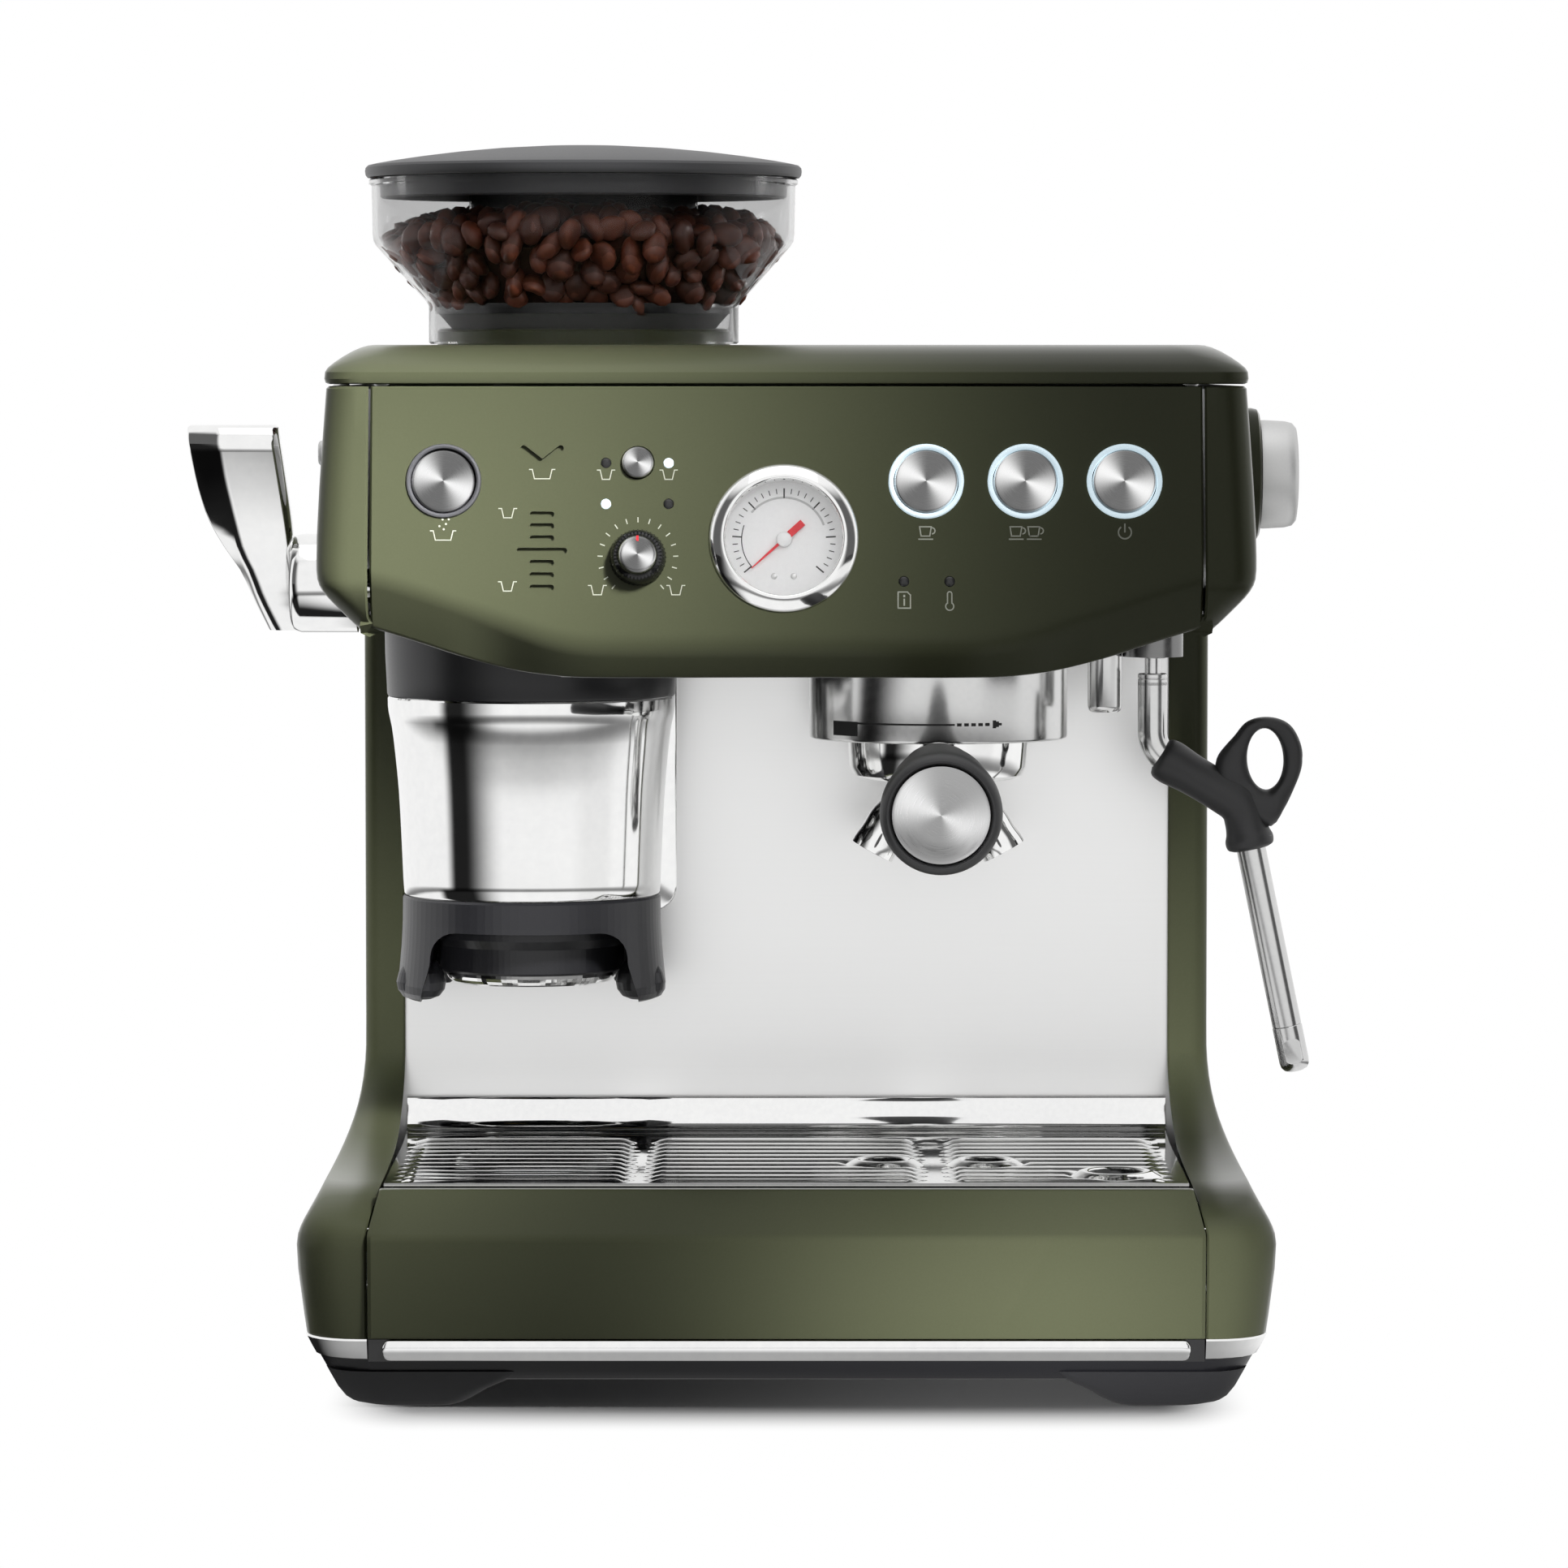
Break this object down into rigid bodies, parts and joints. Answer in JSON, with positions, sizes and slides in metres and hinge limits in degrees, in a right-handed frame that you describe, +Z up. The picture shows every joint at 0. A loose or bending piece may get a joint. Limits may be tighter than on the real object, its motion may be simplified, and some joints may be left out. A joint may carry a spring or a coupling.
{
  "type": "espresso machine",
  "caption": "Countertop espresso machine with a bean grinder, lever tamper, pressure gauge, portafilter, steam wand, lift-out water tank and slide-out drip tray.",
  "frame": {"origin": "on the counter, under the middle of the box that holds the whole machine with its lever, wand and portafilter handle", "axes": "+X to the right as seen from the front, +Y to the back, +Z up"},
  "size_m": [0.3813, 0.38, 0.4144],
  "materials": {
    "paint": "satin olive paint",
    "chrome": "polished",
    "steel": "brushed",
    "aluminium": "polished",
    "black": "matte black",
    "grey": "satin dark grey",
    "clear": "clear",
    "rubber": "matte",
    "beans": "roasted beans",
    "iron": "rough",
    "brass": "satin",
    "board": "circuit board",
    "white": "white",
    "red": "red"
  },
  "bodies": {
    "housing": {"rubber_feet": "rubber", "base_pan": "black", "base_trim": "chrome", "left_side_panel": "paint", "right_side_panel": "paint", "front_fascia": "paint", "top_cover": "paint", "cup_tray": "steel", "splash_panel": "steel", "head_underside": "black", "rear_bulkhead": "grey", "hopper_collar": "paint", "grinder_housing": "black", "upper_burr": "iron", "grinder_motor": "iron", "cradle_collar": "black", "cradle_shield": "chrome", "cradle_fork": "black", "cradle_back_plate": "steel", "group_head": "aluminium", "shower_screen": "steel", "heater": "aluminium", "pump": "black", "control_board": "board", "pressure_gauge": "chrome", "light_pipes": "white", "hot_water_spout": "black"},
    "hopper": {"bean_hopper": "clear", "coffee_beans": "beans"},
    "hopper_lid": {"hopper_lid": "grey"},
    "hopper_bar": {"hopper_bar": "black"},
    "lever": {"tamp_lever": "aluminium", "tamp_shaft": "steel"},
    "plunger": {"tamp_plunger": "steel"},
    "burr_drive": {"lower_burr": "iron", "burr_gear": "brass"},
    "motor_pinion": {"motor_pinion": "brass"},
    "grind_dial": {"grind_dial": "black"},
    "dose_button": {"dose_button": "steel"},
    "one_cup_button": {"one_cup_button": "steel"},
    "two_cup_button": {"two_cup_button": "steel"},
    "power_button": {"power_button": "steel"},
    "filter_button": {"filter_button": "steel"},
    "manual_dose_dial": {"manual_dose_dial": "black"},
    "gauge_needle": {"gauge_needle": "red"},
    "steam_dial": {"steam_dial": "aluminium"},
    "wand_ball": {"wand_ball": "steel"},
    "wand": {"wand_tube": "steel", "wand_grip": "black"},
    "portafilter": {"portafilter_body": "chrome", "filter_basket": "steel", "portafilter_handle": "black", "handle_cap": "steel", "portafilter_spouts": "chrome"},
    "tray": {"drip_tray": "black", "tray_front": "paint", "tray_trim": "chrome"},
    "grille": {"drip_grille": "steel"},
    "tank": {"water_tank": "clear"},
    "tank_lid": {"tank_lid": "black"}
  },
  "joints": [
    {"name": "hopper_lift", "type": "slide", "parent": "housing", "child": "hopper", "axis": [0, 0, 1], "range_m": [0, 0.06]},
    {"name": "hopper_lid_lift", "type": "slide", "parent": "hopper", "child": "hopper_lid", "axis": [0, 0, 1], "range_m": [0, 0.05]},
    {"name": "hopper_bar_turn", "type": "hinge", "parent": "hopper", "child": "hopper_bar", "pos_m": [-0.0564, 0.047, 0.396], "axis": [0, 0, 1], "range_deg": [0, 90]},
    {"name": "lever_pull", "type": "hinge", "parent": "housing", "child": "lever", "pos_m": [-0.1371, 0.032, 0.2652], "axis": [1, 0, 0], "range_deg": [0, 75], "stiffness_Nm_per_rad": 0.3, "springref_deg": -34.38},
    {"name": "plunger_stroke", "type": "slide", "parent": "housing", "child": "plunger", "axis": [0, 0, -1], "range_m": [0, 0.0197]},
    {"name": "burr_spin", "type": "hinge", "parent": "housing", "child": "burr_drive", "pos_m": [-0.0564, 0.047, 0.2935], "axis": [0, 0, 1], "continuous": true},
    {"name": "motor_spin", "type": "hinge", "parent": "housing", "child": "motor_pinion", "pos_m": [-0.0564, 0.094, 0.2935], "axis": [0, 0, 1], "continuous": true},
    {"name": "grind_dial_turn", "type": "hinge", "parent": "housing", "child": "grind_dial", "pos_m": [-0.1421, 0.011, 0.31], "axis": [-1, 0, 0], "range_deg": [-135, 135]},
    {"name": "dose_press", "type": "slide", "parent": "housing", "child": "dose_button", "axis": [0, 0.9848, -0.1736], "range_m": [0, 0.0015], "stiffness_N_per_m": 400, "springref_m": -0.0015},
    {"name": "one_cup_press", "type": "slide", "parent": "housing", "child": "one_cup_button", "axis": [0, 0.9848, -0.1736], "range_m": [0, 0.0015], "stiffness_N_per_m": 400, "springref_m": -0.0015},
    {"name": "two_cup_press", "type": "slide", "parent": "housing", "child": "two_cup_button", "axis": [0, 0.9848, -0.1736], "range_m": [0, 0.0015], "stiffness_N_per_m": 400, "springref_m": -0.0015},
    {"name": "power_press", "type": "slide", "parent": "housing", "child": "power_button", "axis": [0, 0.9848, -0.1736], "range_m": [0, 0.0015], "stiffness_N_per_m": 400, "springref_m": -0.0015},
    {"name": "filter_press", "type": "slide", "parent": "housing", "child": "filter_button", "axis": [0, 0.9848, -0.1736], "range_m": [0, 0.0015], "stiffness_N_per_m": 400, "springref_m": -0.0015},
    {"name": "manual_dial_turn", "type": "hinge", "parent": "housing", "child": "manual_dose_dial", "pos_m": [-0.0352, -0.08396, 0.2772], "axis": [0, -0.9848, 0.1736], "range_deg": [-140, 140]},
    {"name": "gauge_needle_turn", "type": "hinge", "parent": "housing", "child": "gauge_needle", "pos_m": [0.0121, -0.08283, 0.2836], "axis": [0, 0.9848, -0.1736], "range_deg": [0, 250], "stiffness_Nm_per_rad": 0.001},
    {"name": "steam_dial_turn", "type": "hinge", "parent": "housing", "child": "steam_dial", "pos_m": [0.1779, 0.011, 0.3026], "axis": [1, 0, 0], "range_deg": [-90, 90]},
    {"name": "wand_swivel", "type": "hinge", "parent": "housing", "child": "wand_ball", "pos_m": [0.1356, -0.009, 0.2444], "axis": [0, 0, 1], "range_deg": [-100, 30]},
    {"name": "wand_tilt", "type": "hinge", "parent": "wand_ball", "child": "wand", "pos_m": [0.1356, -0.009, 0.2444], "axis": [0, -1, 0], "range_deg": [-10, 30]},
    {"name": "portafilter_turn", "type": "hinge", "parent": "housing", "child": "portafilter", "pos_m": [0.0641, 0.006, 0.215], "axis": [0, 0, 1], "range_deg": [-45, 0]},
    {"name": "tray_pull", "type": "slide", "parent": "housing", "child": "tray", "axis": [0, -1, 0], "range_m": [0, 0.2]},
    {"name": "grille_lift", "type": "slide", "parent": "tray", "child": "grille", "axis": [0, 0, 1], "range_m": [0, 0.025]},
    {"name": "tank_lift", "type": "slide", "parent": "housing", "child": "tank", "axis": [0, 0, 1], "range_m": [0, 0.28]},
    {"name": "tank_lid_open", "type": "hinge", "parent": "tank", "child": "tank_lid", "pos_m": [0.0129, 0.189, 0.3333], "axis": [-1, 0, 0], "range_deg": [0, 100]}
  ],
  "couplings": [
    {"joint": "plunger_stroke", "follows": "lever_pull", "m_per_rad": 0.015},
    {"joint": "motor_spin", "follows": "burr_spin", "ratio": -1.6111}
  ]
}
